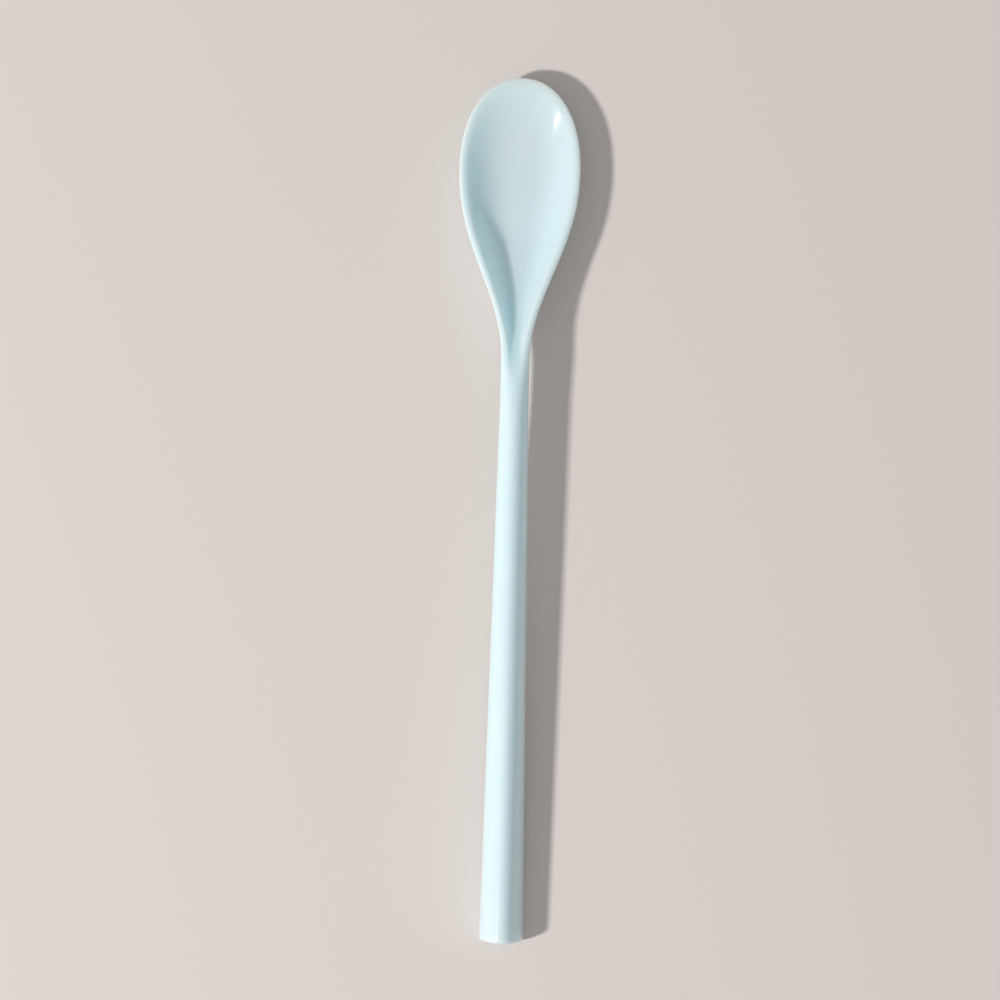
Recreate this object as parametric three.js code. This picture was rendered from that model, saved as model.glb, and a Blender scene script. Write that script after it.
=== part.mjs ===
// Stirring spoon, moulded in one piece: a shallow oval bowl whose hollow runs out in a groove on the neck,
// and a long handle with a soft three-sided section.
// Millimetres. The spoon lies on its back on z = 0, +Y points to the bowl's tip and +Z is up.
// Every "from the tip" size is measured along the spoon.
import * as THREE from 'three';

// Overall size and plan outline
const LENGTH = 200;
const BOWL_WIDTH = 27.9;
const WIDEST_FROM_TIP = 21.2;
const TIP_FULLNESS = 2.15; // 2 gives an elliptical tip, more gives a blunter one
const SHOULDER_END_FROM_TIP = 64.7;
const SHOULDER_SKEW = 1.1; // 1 gives a plain cosine shoulder, more keeps the bowl full for longer
const NECK_FROM_TIP = 74;
const NECK_WIDTH = 6.55;
const BUTT_WIDTH = 10.15;
const BUTT_DOME = 1.2;

// Side view: the line of the rim and handle, and the thickness about it
const TIP_HEIGHT = 5.5;
const NECK_TOP_HEIGHT = 11.4;
const KNEE_ROUNDING = 0.6;
const BOWL_CROWN = 1; // how far the uncut form would rise above the rim line at the tip
const NECK_THICKNESS = 5.7;
const BUTT_THICKNESS = 9.2;
const DEEPEST_FROM_TIP = 36;
const REST_FLAT_DEPTH = 0.1;
const UNDERSIDE_FLAT_DEPTH = 0.06;

// Section of the top: full across the bowl and neck, then elliptical along the handle
const NECK_FULLNESS = 5; // 2 gives an elliptical arch, more gives a flatter top and rounder sides
const HANDLE_FULLNESS = 2;
const FULL_TO_FROM_TIP = 58;
const HANDLE_SECTION_FROM_TIP = 80;

// Sides of the handle: how much of the half thickness they drop, which makes the top a ridge
const NECK_SAG = 0.28;
const BUTT_SAG = 0.5;
const SAG_FROM_TIP = 61;

// The hollow, and the groove that it runs out in
const FLOOR_THICKNESS = 2.8;
const TIP_RISE = 1.2; // how much higher the floor would lie at the tip, without the wall
const WALL_POWER = 2; // more gives a flatter floor and steeper walls
const BOWL_ROLL = 0.7; // how far the wall has rolled over at the rim: 0.5 is steepest there, 1 is level
const NECK_ROLL = 1;
const ROLL_FROM_TIP = 15;
const RIM_WIDTH = 0.85;
const RIM_ROUNDING = 0.6;
const NECK_ROUNDING = 1.2;
const GROOVE_SWEEP = 1.5; // 2 gives the groove's floor a parabolic rise, less lifts it sooner
const GROOVE_NARROWS_FROM_TIP = 46;
const GROOVE_END_FROM_TIP = 66;
const GROOVE_END_WIDTH = 3.6;
const GROOVE_END_WALL = 1.2;

// Finish: glossy moulded melamine
const PALE_AQUA = 0xe0f0f3;
const MOULDED_GLOSS_ROUGHNESS = 0.1;

// Facets
const POINTS_AROUND = 56;
const TIP_RINGS = 16;
const SHOULDER_RINGS = 31;
const HANDLE_RINGS = 16;
const DOME_RINGS = 6;

const { lerp, clamp, smoothstep } = THREE.MathUtils;
const HANDLE_END_FROM_TIP = LENGTH - BUTT_DOME;

// The lower of two heights, with their meeting rounded over a height difference of "rounding".
function roundedMin(a, b, rounding) {
  const overlap = Math.max(rounding - Math.abs(a - b), 0) / rounding;
  return Math.min(a, b) - (overlap * overlap * rounding) / 4;
}

// A fall from 1 to 0 along half a cosine wave.
function cosineFall(t) {
  return (1 + Math.cos(Math.PI * clamp(t, 0, 1))) / 2;
}

// How far along the handle a place is: 0 at the neck, 1 at the butt.
function alongHandle(fromTip) {
  return clamp((fromTip - NECK_FROM_TIP) / (LENGTH - NECK_FROM_TIP), 0, 1);
}

// Half width of the spoon in plan: superelliptical tip, cosine shoulder, tapered handle.
function planHalfWidth(fromTip) {
  if (fromTip < WIDEST_FROM_TIP) {
    const reach = (WIDEST_FROM_TIP - fromTip) / WIDEST_FROM_TIP;
    return (BOWL_WIDTH / 2) * (1 - reach ** TIP_FULLNESS) ** (1 / TIP_FULLNESS);
  }
  const handle = lerp(NECK_WIDTH, BUTT_WIDTH, alongHandle(fromTip)) / 2;
  const along = (fromTip - WIDEST_FROM_TIP) / (SHOULDER_END_FROM_TIP - WIDEST_FROM_TIP);
  return handle + ((BOWL_WIDTH - NECK_WIDTH) / 2) * cosineFall(along ** SHOULDER_SKEW);
}

// Height of the rim line and of the handle's middle line: both rise to a rounded knee at the neck.
function middleHeight(fromTip) {
  const neck = NECK_TOP_HEIGHT - NECK_THICKNESS / 2;
  const butt = BUTT_THICKNESS / 2 - UNDERSIDE_FLAT_DEPTH;
  const rim = lerp(TIP_HEIGHT, neck, fromTip / NECK_FROM_TIP);
  const handle = lerp(neck, butt, (fromTip - NECK_FROM_TIP) / (LENGTH - NECK_FROM_TIP));
  return roundedMin(rim, handle, KNEE_ROUNDING);
}

// Half thickness of the neck and handle, carried on into the bowl as the crown of the uncut form.
function halfThickness(fromTip) {
  if (fromTip < NECK_FROM_TIP) {
    return lerp(BOWL_CROWN, NECK_THICKNESS / 2, fromTip / NECK_FROM_TIP);
  }
  return lerp(NECK_THICKNESS, BUTT_THICKNESS, alongHandle(fromTip)) / 2;
}

// How far the outline has closed towards the tip: its share of the full width ahead of the widest place.
function tipClosing(fromTip) {
  if (fromTip >= WIDEST_FROM_TIP) return 1;
  return planHalfWidth(fromTip) / (BOWL_WIDTH / 2);
}

// Height of the uncut form above the middle line: it closes at the tip as the plan outline does.
function crownAbove(fromTip) {
  return halfThickness(fromTip) * tipClosing(fromTip);
}

// Depth of the underside below the middle line: an elliptical keel to the deepest place, then a fall
// to the neck.
function keelBelow(fromTip) {
  if (fromTip < DEEPEST_FROM_TIP) {
    const ahead = (DEEPEST_FROM_TIP - fromTip) / DEEPEST_FROM_TIP;
    return (middleHeight(fromTip) + REST_FLAT_DEPTH) * Math.sqrt(1 - ahead * ahead);
  }
  const belly = middleHeight(DEEPEST_FROM_TIP) + REST_FLAT_DEPTH - halfThickness(DEEPEST_FROM_TIP);
  const along = (fromTip - DEEPEST_FROM_TIP) / (NECK_FROM_TIP - DEEPEST_FROM_TIP);
  return halfThickness(fromTip) + belly * cosineFall(along);
}

// How far the sides of the section drop below the middle line.
function sideSag(fromTip) {
  const neck = NECK_SAG * smoothstep(fromTip, SAG_FROM_TIP, NECK_FROM_TIP);
  return halfThickness(fromTip) * (neck + (BUTT_SAG - NECK_SAG) * alongHandle(fromTip));
}

// Top of the uncut form, at a share of the half width from the middle: a superelliptical arch.
function uncutTop(share, fromTip) {
  const along = smoothstep(fromTip, FULL_TO_FROM_TIP, HANDLE_SECTION_FROM_TIP);
  const fullness = lerp(NECK_FULLNESS, HANDLE_FULLNESS, along);
  const arch = Math.max(1 - Math.abs(share) ** fullness, 0) ** (1 / fullness);
  return middleHeight(fromTip) + crownAbove(fromTip) * arch - sideSag(fromTip) * share * share;
}

// Half width of the hollow: the outline less the rim, drawn in along a parabola to the groove's end.
// Ahead of the widest place it stays as it is there, and the wall closes the tip instead.
function hollowHalfWidth(fromTip) {
  const behind = Math.max(fromTip, WIDEST_FROM_TIP);
  const grooveLength = GROOVE_END_FROM_TIP - GROOVE_NARROWS_FROM_TIP;
  const narrowed = clamp((behind - GROOVE_NARROWS_FROM_TIP) / grooveLength, 0, 1);
  const most = planHalfWidth(GROOVE_END_FROM_TIP) - RIM_WIDTH - GROOVE_END_WIDTH / 2;
  return planHalfWidth(behind) - RIM_WIDTH - most * narrowed * narrowed;
}

// Height of the hollow's floor on the middle plane: from the deepest place it rises a little to level out
// at the tip, and sweeps up to the ridge of the neck at the groove's end and on above it.
function floorHeight(fromTip) {
  const ahead = (DEEPEST_FROM_TIP - fromTip) / DEEPEST_FROM_TIP;
  const behind = Math.max(fromTip - DEEPEST_FROM_TIP, 0) / (GROOVE_END_FROM_TIP - DEEPEST_FROM_TIP);
  const grooveRise = uncutTop(0, GROOVE_END_FROM_TIP) - FLOOR_THICKNESS;
  return FLOOR_THICKNESS + TIP_RISE * (1 - cosineFall(ahead)) + grooveRise * behind ** GROOVE_SWEEP;
}

// Share of the wall's height that a place has reached, by how far out it is. The wall follows part of a
// cosine wave, and so rolls over towards the rim, at the neck until it is level.
function wallRise(outward, fromTip) {
  const along = smoothstep(fromTip, ROLL_FROM_TIP, GROOVE_NARROWS_FROM_TIP);
  const roll = lerp(BOWL_ROLL, NECK_ROLL, along);
  return (1 - cosineFall(roll * outward ** WALL_POWER)) / (1 - cosineFall(roll));
}

// Height of the hollow: the floor plus the wall's rise.
// How far out a place is joins the share of the half width, as in a superellipse, with the share of the
// way from the widest place to the tip. It is 1 at the rim.
function hollowHeight(share, fromTip) {
  const halfWidth = hollowHalfWidth(fromTip);
  const across = (Math.abs(share) * planHalfWidth(fromTip)) / halfWidth;
  const ahead = Math.max(WIDEST_FROM_TIP - fromTip, 0) / (WIDEST_FROM_TIP - RIM_WIDTH);
  const outward = (across ** TIP_FULLNESS + ahead ** TIP_FULLNESS) ** (1 / TIP_FULLNESS);
  const rimShare = halfWidth / planHalfWidth(Math.max(fromTip, WIDEST_FROM_TIP));
  const floor = floorHeight(fromTip);
  const wall = Math.hypot(uncutTop(rimShare, fromTip) - floor, GROOVE_END_WALL);
  return floor + wall * wallRise(outward, fromTip);
}

// Rounding of the rim: it grows from the bowl to the groove, and closes with the outline at the tip.
function rimRounding(fromTip) {
  const along = smoothstep(fromTip, DEEPEST_FROM_TIP, GROOVE_NARROWS_FROM_TIP);
  return lerp(RIM_ROUNDING, NECK_ROUNDING, along) * tipClosing(fromTip);
}

// Top of the spoon: the uncut form or the hollow, whichever is lower, with a rounded rim between them.
function topHeight(share, fromTip) {
  return roundedMin(uncutTop(share, fromTip), hollowHeight(share, fromTip), rimRounding(fromTip));
}

// Underside of the spoon: flat along the handle, and flat where the belly rests.
function undersideHeight(share, fromTip) {
  const arch = Math.sqrt(Math.max(1 - share * share, 0));
  const middle = middleHeight(fromTip);
  const round = middle - keelBelow(fromTip) * arch - sideSag(fromTip) * share * share;
  const handleFlat = middle - keelBelow(fromTip) + UNDERSIDE_FLAT_DEPTH;
  return Math.max(round, fromTip < NECK_FROM_TIP ? 0 : handleFlat);
}

// One section of the spoon, as points in order round it.
function sectionPoints(fromTip) {
  const points = [];
  for (let step = 0; step < POINTS_AROUND; step += 1) {
    const angle = (2 * Math.PI * step) / POINTS_AROUND;
    const share = Math.cos(angle);
    const height = Math.sin(angle) > 0 ? topHeight(share, fromTip) : undersideHeight(share, fromTip);
    points.push(new THREE.Vector3(planHalfWidth(fromTip) * share, LENGTH / 2 - fromTip, height));
  }
  return points;
}

// The butt's low dome: the last section drawn in to its middle along a quarter ellipse.
function domeSection(lastSection, middle, angle) {
  const centre = middle.clone();
  centre.y -= BUTT_DOME * Math.sin(angle);
  const scale = Math.cos(angle);
  return lastSection.map((point) => point.clone().sub(middle).multiplyScalar(scale).add(centre));
}

// Places of the sections: close together at the tip, where the outline turns fastest.
function sectionPlaces() {
  const places = [];
  for (let ring = 1; ring <= TIP_RINGS; ring += 1) {
    places.push(WIDEST_FROM_TIP * (1 - Math.cos((Math.PI / 2) * (ring / TIP_RINGS))));
  }
  for (let ring = 1; ring <= SHOULDER_RINGS; ring += 1) {
    places.push(lerp(WIDEST_FROM_TIP, NECK_FROM_TIP, ring / SHOULDER_RINGS));
  }
  for (let ring = 1; ring <= HANDLE_RINGS; ring += 1) {
    places.push(lerp(NECK_FROM_TIP, HANDLE_END_FROM_TIP, ring / HANDLE_RINGS));
  }
  return places;
}

// A closed skin over sections that run from one end point to the other.
function loft(startPoint, sections, endPoint) {
  const around = sections[0].length;
  const points = [startPoint, ...sections.flat(), endPoint];
  const triangles = [];
  const at = (ring, step) => 1 + ring * around + (step % around);
  for (let step = 0; step < around; step += 1) {
    triangles.push(0, at(0, step + 1), at(0, step));
    for (let ring = 0; ring < sections.length - 1; ring += 1) {
      triangles.push(at(ring, step), at(ring, step + 1), at(ring + 1, step));
      triangles.push(at(ring, step + 1), at(ring + 1, step + 1), at(ring + 1, step));
    }
    const last = sections.length - 1;
    triangles.push(at(last, step), at(last, step + 1), points.length - 1);
  }
  const geometry = new THREE.BufferGeometry().setFromPoints(points);
  geometry.setIndex(triangles);
  geometry.computeVertexNormals();
  return geometry;
}

function spoonGeometry() {
  const sections = sectionPlaces().map(sectionPoints);
  const lastSection = sections[sections.length - 1];
  const end = LENGTH / 2 - HANDLE_END_FROM_TIP;
  const middle = new THREE.Vector3(0, end, middleHeight(HANDLE_END_FROM_TIP));
  for (let ring = 1; ring < DOME_RINGS; ring += 1) {
    sections.push(domeSection(lastSection, middle, (Math.PI / 2) * (ring / DOME_RINGS)));
  }
  const tip = new THREE.Vector3(0, LENGTH / 2, middleHeight(0));
  const butt = new THREE.Vector3(0, -LENGTH / 2, middle.z);
  return loft(tip, sections, butt);
}

const melamine = new THREE.MeshStandardMaterial({
  color: PALE_AQUA,
  roughness: MOULDED_GLOSS_ROUGHNESS,
  metalness: 0,
});
const spoon = new THREE.Mesh(spoonGeometry(), melamine);
spoon.name = 'spoon';

const stirringSpoon = new THREE.Group();
stirringSpoon.add(spoon);

export default stirringSpoon;
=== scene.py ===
import bpy
import numpy as np
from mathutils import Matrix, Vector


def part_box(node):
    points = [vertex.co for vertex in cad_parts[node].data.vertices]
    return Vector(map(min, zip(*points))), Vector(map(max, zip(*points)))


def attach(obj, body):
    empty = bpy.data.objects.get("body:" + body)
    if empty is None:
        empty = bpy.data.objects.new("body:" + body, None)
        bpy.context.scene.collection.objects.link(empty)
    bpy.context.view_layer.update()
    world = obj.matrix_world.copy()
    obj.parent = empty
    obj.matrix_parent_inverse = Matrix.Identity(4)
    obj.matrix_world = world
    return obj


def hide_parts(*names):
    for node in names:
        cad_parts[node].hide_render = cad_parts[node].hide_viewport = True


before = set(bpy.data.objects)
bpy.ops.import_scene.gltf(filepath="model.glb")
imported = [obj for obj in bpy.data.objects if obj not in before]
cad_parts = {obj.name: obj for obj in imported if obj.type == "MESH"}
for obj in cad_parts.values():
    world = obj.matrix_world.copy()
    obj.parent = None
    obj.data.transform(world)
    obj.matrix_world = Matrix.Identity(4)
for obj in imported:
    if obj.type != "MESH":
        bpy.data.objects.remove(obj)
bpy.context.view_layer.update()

# The spoon
# One compression moulding in melamine. The hollow of the bowl runs out in a groove on the neck, and
# the handle has a soft three-sided section. It is pressed between two polished half moulds, and the
# thin flash round its outline is then trimmed and buffed.

MM = 0.001
spoon_low, spoon_high = (np.array(corner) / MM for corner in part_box("spoon"))

# Plan outline, in millimetres, measured along the spoon from the tip
LENGTH = spoon_high[1] - spoon_low[1]
BOWL_WIDTH = spoon_high[0] - spoon_low[0]
WIDEST_FROM_TIP = 21.2
TIP_FULLNESS = 2.15  # 2 gives an ellipse, more a squarer tip
SHOULDER_END_FROM_TIP = 64.7
SHOULDER_SKEW = 1.1
NECK_FROM_TIP = 74
NECK_WIDTH = 6.55
BUTT_WIDTH = 10.15
BUTT_DOME = 1.2

# Side view
TIP_HEIGHT = 5.5
NECK_TOP_HEIGHT = 11.4
KNEE_ROUNDING = 0.6
BOWL_CROWN = 1
NECK_THICKNESS = 5.7
BUTT_THICKNESS = 9.2
DEEPEST_FROM_TIP = 36
REST_FLAT_DEPTH = 0.1
UNDERSIDE_FLAT_DEPTH = 0.06

# Section of the top, full across the bowl and neck, and the sides of the handle
NECK_FULLNESS = 5  # 2 gives an elliptical arch, more a flatter top
HANDLE_FULLNESS = 2
FULL_TO_FROM_TIP = 58
HANDLE_SECTION_FROM_TIP = 80
NECK_SAG = 0.28  # share of the half thickness
BUTT_SAG = 0.65
SAG_FROM_TIP = 61

# The hollow
FLOOR_THICKNESS = 2.92
RIM_WIDTH = 0.85
RIM_ROUNDING = 0.8
NECK_ROUNDING = 1.8
WALL_POWER = 1.82  # more gives a flatter floor and steeper walls
BOWL_ROLL = 0.65  # 0.5 makes the wall steepest at the rim, 1 level there
NECK_ROLL = 1
ROLL_FROM_TIP = 0
TIP_RISE = 0.45
GROOVE_SWEEP = 1.58  # 2 gives a parabolic rise, less lifts it sooner
GROOVE_NARROWS_FROM_TIP = 46
GROOVE_END_FROM_TIP = 66
GROOVE_END_WIDTH = 3.6
GROOVE_END_WALL = 0.6

# Fineness of the skin
POINTS_AROUND = 256
TIP_RINGS = 72
SHOULDER_RINGS = 132
HANDLE_RINGS = 84
DOME_RINGS = 16


def lerp(a, b, t):
    """The value a share t of the way from a to b."""
    return a + (b - a) * t


def smoothstep(s, start, end):
    """A rise from 0 at start to 1 at end, as 3t^2 - 2t^3."""
    t = np.clip((s - start) / (end - start), 0, 1)
    return t * t * (3 - 2 * t)


def rounded_min(a, b, rounding):
    """The lower of two heights, less a quarter of the rounding times their closeness squared.

    Closeness is 1 where the two are equal, and 0 where they are the rounding or more apart.
    """
    closeness = np.maximum(rounding - np.abs(a - b), 0) / rounding
    return np.minimum(a, b) - closeness ** 2 * rounding / 4


def cosine_fall(t):
    """A fall from 1 to 0 along half a cosine wave."""
    return (1 + np.cos(np.pi * np.clip(t, 0, 1))) / 2


def along_handle(s):
    """How far along the handle a place is: 0 at the neck, 1 at the butt."""
    return np.clip((s - NECK_FROM_TIP) / (LENGTH - NECK_FROM_TIP), 0, 1)


def plan_half_width(s):
    """Half width in plan: a superelliptical tip, then a cosine shoulder on the handle's taper."""
    ahead = np.clip((WIDEST_FROM_TIP - s) / WIDEST_FROM_TIP, 0, 1)
    tip = BOWL_WIDTH / 2 * (1 - ahead ** TIP_FULLNESS) ** (1 / TIP_FULLNESS)
    along = np.clip((s - WIDEST_FROM_TIP) / (SHOULDER_END_FROM_TIP - WIDEST_FROM_TIP), 0, 1)
    shoulder = (BOWL_WIDTH - NECK_WIDTH) / 2 * cosine_fall(along ** SHOULDER_SKEW)
    handle = lerp(NECK_WIDTH, BUTT_WIDTH, along_handle(s)) / 2
    return np.where(s < WIDEST_FROM_TIP, tip, handle + shoulder)


def middle_height(s):
    """Height of the middle line: straight along the rim and the handle, with a rounded knee."""
    neck = NECK_TOP_HEIGHT - NECK_THICKNESS / 2
    butt = BUTT_THICKNESS / 2 - UNDERSIDE_FLAT_DEPTH
    rim = lerp(TIP_HEIGHT, neck, s / NECK_FROM_TIP)
    handle = lerp(neck, butt, (s - NECK_FROM_TIP) / (LENGTH - NECK_FROM_TIP))
    return rounded_min(rim, handle, KNEE_ROUNDING)


def half_thickness(s):
    """Half thickness: straight from the bowl's crown to the neck, and from there to the butt."""
    bowl = lerp(BOWL_CROWN, NECK_THICKNESS / 2, s / NECK_FROM_TIP)
    handle = lerp(NECK_THICKNESS, BUTT_THICKNESS, along_handle(s)) / 2
    return np.where(s < NECK_FROM_TIP, bowl, handle)


def tip_closing(s):
    """Share of the bowl's width that the outline has at the tip, and 1 behind the widest place."""
    return np.where(s < WIDEST_FROM_TIP, plan_half_width(s) / (BOWL_WIDTH / 2), 1)


def crown_above(s):
    """Height of the uncut form above the middle line: the half thickness, closing at the tip."""
    return half_thickness(s) * tip_closing(s)


def keel_below(s):
    """Depth below the middle line: a quarter ellipse to the deepest place, then a cosine fall."""
    ahead = np.clip((DEEPEST_FROM_TIP - s) / DEEPEST_FROM_TIP, 0, 1)
    bow = (middle_height(s) + REST_FLAT_DEPTH) * np.sqrt(1 - ahead ** 2)
    belly = middle_height(DEEPEST_FROM_TIP) + REST_FLAT_DEPTH - half_thickness(DEEPEST_FROM_TIP)
    along = (s - DEEPEST_FROM_TIP) / (NECK_FROM_TIP - DEEPEST_FROM_TIP)
    stern = half_thickness(s) + belly * cosine_fall(along)
    return np.where(s < DEEPEST_FROM_TIP, bow, stern)


def side_sag(s):
    """How far the sides drop: a share of the half thickness, which grows towards the butt."""
    neck = NECK_SAG * smoothstep(s, SAG_FROM_TIP, NECK_FROM_TIP)
    return half_thickness(s) * (neck + (BUTT_SAG - NECK_SAG) * along_handle(s))


def uncut_top(share, s):
    """Top of the uncut form: a superelliptical arch across the width, less the parabolic sag.

    The arch is (1 - share^n)^(1/n), and n eases from the neck's fullness to the handle's.
    """
    along = smoothstep(s, FULL_TO_FROM_TIP, HANDLE_SECTION_FROM_TIP)
    fullness = lerp(NECK_FULLNESS, HANDLE_FULLNESS, along)
    arch = np.maximum(1 - np.abs(share) ** fullness, 0) ** (1 / fullness)
    return middle_height(s) + crown_above(s) * arch - side_sag(s) * share ** 2


def hollow_half_width(s):
    """Half width of the hollow: the outline less the rim, drawn in by a parabola at the groove.

    Ahead of the widest place it stays as it is there, and hollow_height closes the tip instead.
    """
    behind = np.maximum(s, WIDEST_FROM_TIP)
    groove_length = GROOVE_END_FROM_TIP - GROOVE_NARROWS_FROM_TIP
    narrowed = np.clip((behind - GROOVE_NARROWS_FROM_TIP) / groove_length, 0, 1)
    most = plan_half_width(GROOVE_END_FROM_TIP) - RIM_WIDTH - GROOVE_END_WIDTH / 2
    return plan_half_width(behind) - RIM_WIDTH - most * narrowed ** 2


def floor_height(s):
    """Height of the hollow's floor along the middle of the spoon.

    From the deepest place it rises as half a cosine wave to the tip, and as a power curve to the
    ridge of the neck at the groove's end.
    """
    ahead = (DEEPEST_FROM_TIP - s) / DEEPEST_FROM_TIP
    behind = np.maximum(s - DEEPEST_FROM_TIP, 0) / (GROOVE_END_FROM_TIP - DEEPEST_FROM_TIP)
    tip_rise = TIP_RISE * (1 - cosine_fall(ahead))
    groove_rise = (uncut_top(0, GROOVE_END_FROM_TIP) - FLOOR_THICKNESS) * behind ** GROOVE_SWEEP
    return FLOOR_THICKNESS + tip_rise + groove_rise


def wall_rise(outward, s):
    """Share of the wall's height that a place has reached, by how far out it is.

    The wall follows part of a cosine wave of a power of outward, and so rolls over towards the rim,
    at the neck until it is level.
    """
    roll = lerp(BOWL_ROLL, NECK_ROLL, smoothstep(s, ROLL_FROM_TIP, GROOVE_NARROWS_FROM_TIP))
    return (1 - cosine_fall(roll * outward ** WALL_POWER)) / (1 - cosine_fall(roll))


def hollow_height(share, s):
    """Height of the hollow: the floor plus the wall's rise.

    How far out a place is joins the share of the half width, as in a superellipse, with the share
    of the way from the widest place to the tip. It is 1 at the rim.
    """
    half_width = hollow_half_width(s)
    across = np.abs(share) * plan_half_width(s) / half_width
    ahead = np.maximum(WIDEST_FROM_TIP - s, 0) / (WIDEST_FROM_TIP - RIM_WIDTH)
    outward = (across ** TIP_FULLNESS + ahead ** TIP_FULLNESS) ** (1 / TIP_FULLNESS)
    rim = uncut_top(half_width / plan_half_width(np.maximum(s, WIDEST_FROM_TIP)), s)
    wall = np.hypot(rim - floor_height(s), GROOVE_END_WALL)
    return floor_height(s) + wall * wall_rise(outward, s)


def rim_rounding(s):
    """Rounding of the rim: it grows smoothly from bowl to groove, and closes at the tip."""
    along = smoothstep(s, DEEPEST_FROM_TIP, GROOVE_NARROWS_FROM_TIP)
    return lerp(RIM_ROUNDING, NECK_ROUNDING, along) * tip_closing(s)


def top_height(share, s):
    """Top of the spoon: the lower of the uncut form and the hollow, with a rounded rim."""
    return rounded_min(uncut_top(share, s), hollow_height(share, s), rim_rounding(s))


def underside_height(share, s):
    """Underside: an elliptical arch to the keel, less the sag, cut flat at belly and handle."""
    arch = np.sqrt(np.maximum(1 - share ** 2, 0))
    middle = middle_height(s)
    rounded = middle - keel_below(s) * arch - side_sag(s) * share ** 2
    handle_flat = middle - keel_below(s) + UNDERSIDE_FLAT_DEPTH
    return np.maximum(rounded, np.where(s < NECK_FROM_TIP, 0, handle_flat))


def spoon_rings():
    """Points of the skin on a grid of places along the spoon and angles round it.

    At each place the share of the half width is the cosine of the angle, the first half turn is the
    top and the second the underside. The last rings draw the butt's section in to its middle along
    a quarter ellipse.
    """
    handle_end = LENGTH - BUTT_DOME
    tip_turn = np.arange(1, TIP_RINGS + 1) / TIP_RINGS * np.pi / 2
    s = np.concatenate([
        WIDEST_FROM_TIP * (1 - np.cos(tip_turn)),
        np.linspace(WIDEST_FROM_TIP, NECK_FROM_TIP, SHOULDER_RINGS + 1)[1:],
        np.linspace(NECK_FROM_TIP, handle_end, HANDLE_RINGS + 1)[1:],
    ])[:, None]
    angle = np.arange(POINTS_AROUND)[None, :] / POINTS_AROUND * 2 * np.pi
    share = np.cos(angle)
    x = plan_half_width(s) * share
    y = np.broadcast_to(LENGTH / 2 - s, x.shape)
    z = np.where(np.sin(angle) > 0, top_height(share, s), underside_height(share, s))
    body = np.stack([x, y, z], axis=-1)
    middle = np.array([0, LENGTH / 2 - handle_end, middle_height(handle_end)])
    dome_turn = (np.arange(1, DOME_RINGS) / DOME_RINGS * np.pi / 2)[:, None, None]
    bulge = np.array([0, -BUTT_DOME, 0]) * np.sin(dome_turn)
    dome = middle + (body[-1] - middle) * np.cos(dome_turn) + bulge
    return np.concatenate([body, dome])


def closed_skin(name, start_point, rings, end_point):
    """A closed mesh over rings of points: quads between them and a fan at each end."""
    count, around = rings.shape[:2]
    points = np.concatenate([[start_point], rings.reshape(-1, 3), [end_point]])
    at = 1 + np.arange(count * around).reshape(count, around)
    following = np.roll(at, -1, axis=1)
    quads = np.stack([at[:-1], following[:-1], following[1:], at[1:]], axis=-1).reshape(-1, 4)
    first = np.stack([np.zeros(around, int), following[0], at[0]], axis=-1)
    last = np.stack([at[-1], following[-1], np.full(around, len(points) - 1)], axis=-1)
    mesh = bpy.data.meshes.new(name)
    mesh.from_pydata(points.tolist(), [], quads.tolist() + first.tolist() + last.tolist())
    mesh.polygons.foreach_set("use_smooth", np.ones(len(mesh.polygons), bool))
    mesh.update()
    piece = bpy.data.objects.new(name, mesh)
    bpy.context.scene.collection.objects.link(piece)
    return piece


tip_point = np.array([0, LENGTH / 2, middle_height(0)])
butt_point = np.array([0, -LENGTH / 2, middle_height(LENGTH - BUTT_DOME)])
rings = spoon_rings()
spoon = closed_skin("moulded_spoon", tip_point * MM, rings * MM, butt_point * MM)

# The flash line runs round the outline, where the half moulds met
FLASH_WIDTH = 0.25

inward = rings[..., 0].max(axis=1, keepdims=True) - np.abs(rings[..., 0])
near_flash = np.exp(-(inward / FLASH_WIDTH) ** 2)
flash_line = spoon.data.attributes.new("flash_line", "FLOAT", "POINT")
flash_line.data.foreach_set("value", np.concatenate([[1], near_flash.ravel(), [1]]))


def linear(hex_colour):
    """An sRGB hex colour as linear red, green, blue and alpha."""
    srgb = np.array([int(hex_colour[i:i + 2], 16) for i in (1, 3, 5)]) / 255
    return (*np.where(srgb <= 0.04045, srgb / 12.92, ((srgb + 0.055) / 1.055) ** 2.4), 1)


def add_node(tree, kind, inputs=None, **settings):
    """Adds a node, makes its settings, and fills its inputs with values or other nodes' outputs."""
    node = tree.nodes.new(kind)
    for name, value in settings.items():
        setattr(node, name, value)
    for name, value in (inputs or {}).items():
        if isinstance(value, bpy.types.NodeSocket):
            tree.links.new(value, node.inputs[name])
        else:
            node.inputs[name].default_value = value
    return node


# Melamine, pressed in a polished mould: a hard gloss over a slightly cloudy, faintly translucent
# body, so that light runs some millimetres into the shade and lends it the body's own aqua, red
# light the least far. Along the trimmed flash line the buffing wheel has left a satin band.
PALE_AQUA = "#E0F1F7"
CLOUDED_AQUA = "#DBEEF4"
CLOUD_SIZE = 14 * MM
CLOUD_DETAIL = 3.0
RIPPLE_SPACING = 9 * MM
RIPPLE_HEIGHT = 0.004 * MM
FINEST_POLISH = 0.06
DULLEST_POLISH = 0.11
BUFFED_ROUGHNESS = 0.24
MELAMINE_IOR = 1.6
LIGHT_REACH = 3 * MM
REACH_BY_COLOUR = (0.8, 1.0, 1.0)

# A Mix node has its A, B and Result once for each kind of data, so they go by number
VALUE_A, VALUE_B, MIXED_VALUE = 2, 3, 0
COLOUR_A, COLOUR_B, MIXED_COLOUR = 6, 7, 2

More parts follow.
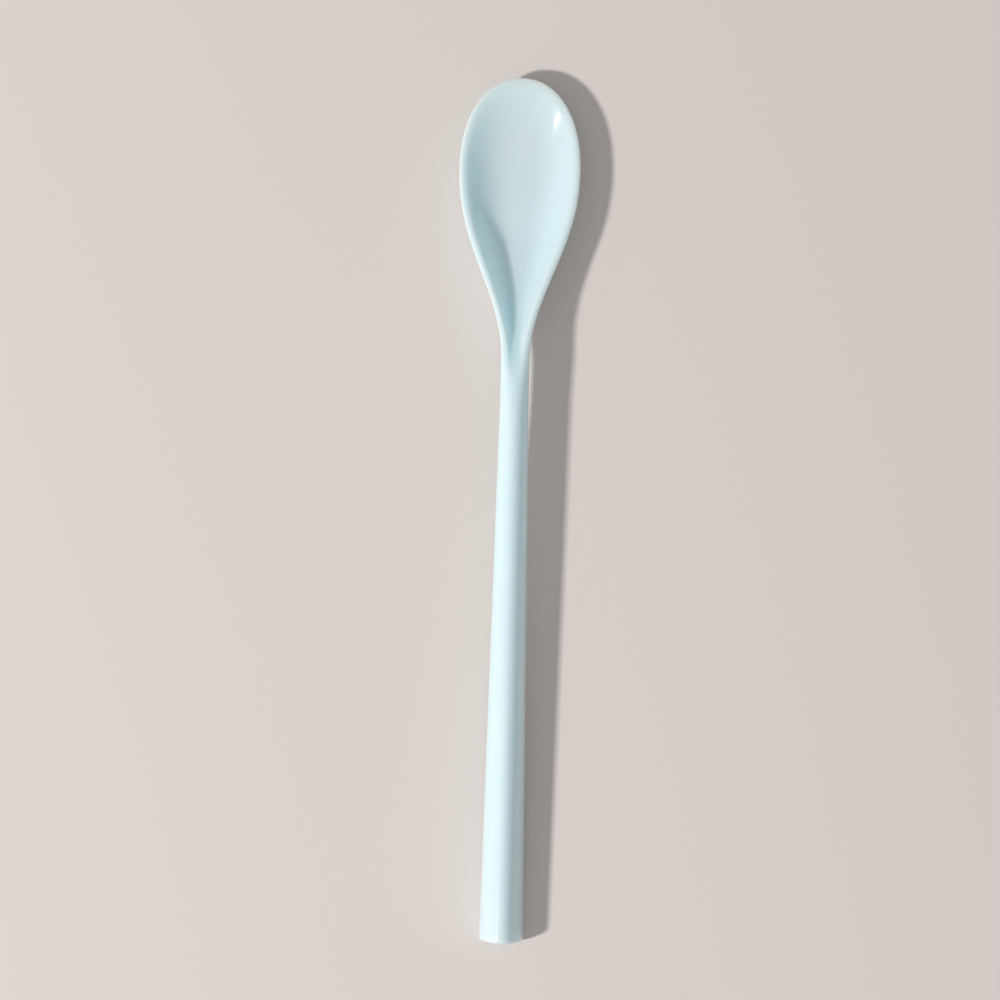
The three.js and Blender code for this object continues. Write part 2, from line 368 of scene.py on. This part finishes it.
melamine = bpy.data.materials.new("moulded_melamine")
melamine.use_nodes = True
tree = melamine.node_tree
tree.nodes.clear()
place = add_node(tree, "ShaderNodeTexCoord").outputs["Object"]
cloud = add_node(tree, "ShaderNodeTexNoise", {
    "Vector": place, "Scale": 1 / CLOUD_SIZE, "Detail": CLOUD_DETAIL}).outputs["Fac"]
tint = add_node(tree, "ShaderNodeMix", {
    "Factor": cloud, COLOUR_A: linear(CLOUDED_AQUA), COLOUR_B: linear(PALE_AQUA)}, data_type="RGBA")
polish = add_node(tree, "ShaderNodeMapRange", {
    "Value": cloud, "To Min": FINEST_POLISH, "To Max": DULLEST_POLISH})
flash = add_node(tree, "ShaderNodeAttribute", attribute_name="flash_line")
buffing = add_node(tree, "ShaderNodeMix", {
    "Factor": flash.outputs["Fac"], VALUE_A: polish.outputs["Result"], VALUE_B: BUFFED_ROUGHNESS})
ripple = add_node(tree, "ShaderNodeTexNoise", {
    "Vector": place, "Scale": 1 / RIPPLE_SPACING, "Detail": 0.0})
bump = add_node(tree, "ShaderNodeBump", {
    "Height": ripple.outputs["Fac"], "Strength": 1.0, "Distance": RIPPLE_HEIGHT})
gloss = add_node(tree, "ShaderNodeBsdfPrincipled", {
    "Base Color": tint.outputs[MIXED_COLOUR], "Roughness": buffing.outputs[MIXED_VALUE],
    "IOR": MELAMINE_IOR, "Normal": bump.outputs["Normal"], "Subsurface Weight": 1.0,
    "Subsurface Radius": REACH_BY_COLOUR, "Subsurface Scale": LIGHT_REACH})
add_node(tree, "ShaderNodeOutputMaterial", {"Surface": gloss.outputs["BSDF"]})
spoon.data.materials.append(melamine)

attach(spoon, "root")
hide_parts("spoon")

# The floor
# A plain pale sheet under the spoon, wide enough to fill the picture from any side.
FLOOR_SIDE = 4.0
PALE_STONE = "#E3DBD5"
MATT_ROUGHNESS = 0.9

half_side = FLOOR_SIDE / 2
floor_mesh = bpy.data.meshes.new("floor")
floor_mesh.from_pydata(
    [(x * half_side, y * half_side, 0) for x, y in ((-1, -1), (1, -1), (1, 1), (-1, 1))],
    [], [(0, 1, 2, 3)])
floor = bpy.data.objects.new("floor", floor_mesh)
bpy.context.scene.collection.objects.link(floor)
floor_finish = bpy.data.materials.new("matt_floor")
floor_finish.use_nodes = True
floor_shader = floor_finish.node_tree.nodes["Principled BSDF"]
floor_shader.inputs["Base Color"].default_value = linear(PALE_STONE)
floor_shader.inputs["Roughness"].default_value = MATT_ROUGHNESS
floor_mesh.materials.append(floor_finish)

# The camera
# It looks straight down from well above, turned a little so that the tip leans to the right. The
# spoon lies just right of the middle of the picture and just below it.
PICTURE_SIDE = 230.6 * MM
CAMERA_HEIGHT = 1.2
CAMERA_TURN = np.radians(1.42)
SPOON_RIGHT_OF_MIDDLE = 2.65 * MM
SPOON_BELOW_MIDDLE = 2.65 * MM
OUTLINE_HEIGHT = 6 * MM

right = np.array([np.cos(CAMERA_TURN), np.sin(CAMERA_TURN), 0])
ahead = np.array([-np.sin(CAMERA_TURN), np.cos(CAMERA_TURN), 0])
camera_data = bpy.data.cameras.new("camera")
camera_data.lens = camera_data.sensor_width * (CAMERA_HEIGHT - OUTLINE_HEIGHT) / PICTURE_SIDE
camera = bpy.data.objects.new("camera", camera_data)
camera.location = ahead * SPOON_BELOW_MIDDLE - right * SPOON_RIGHT_OF_MIDDLE
camera.location.z = CAMERA_HEIGHT
camera.rotation_euler = (0, 0, CAMERA_TURN)
bpy.context.scene.collection.objects.link(camera)
bpy.context.scene.camera = camera

# The light
# One small soft box to the left, a little towards the butt, and an even fill from all round.
KEY_DISTANCE = 2.0
KEY_SIDE = 0.16
KEY_ELEVATION = np.radians(41.5)
KEY_TOWARDS_BUTT = np.radians(18)
KEY_IRRADIANCE = 2.25
FILL_STRENGTH = 0.4
FILL_COLOUR = "#FFFFFF"

key_data = bpy.data.lights.new("key", "AREA")
key_data.shape = "SQUARE"
key_data.size = KEY_SIDE
key_data.energy = KEY_IRRADIANCE * np.pi * KEY_DISTANCE ** 2
key = bpy.data.objects.new("key", key_data)
level = -right * np.cos(KEY_TOWARDS_BUTT) - ahead * np.sin(KEY_TOWARDS_BUTT)
towards_key = level * np.cos(KEY_ELEVATION) + np.array([0, 0, np.sin(KEY_ELEVATION)])
key.location = towards_key * KEY_DISTANCE
key.rotation_euler = (0, np.pi / 2 - KEY_ELEVATION, np.arctan2(towards_key[1], towards_key[0]))
bpy.context.scene.collection.objects.link(key)

world = bpy.data.worlds.new("fill")
world.use_nodes = True
background = world.node_tree.nodes["Background"]
background.inputs["Strength"].default_value = FILL_STRENGTH
background.inputs["Color"].default_value = linear(FILL_COLOUR)
bpy.context.scene.world = world
bpy.context.scene.view_settings.view_transform = "Standard"
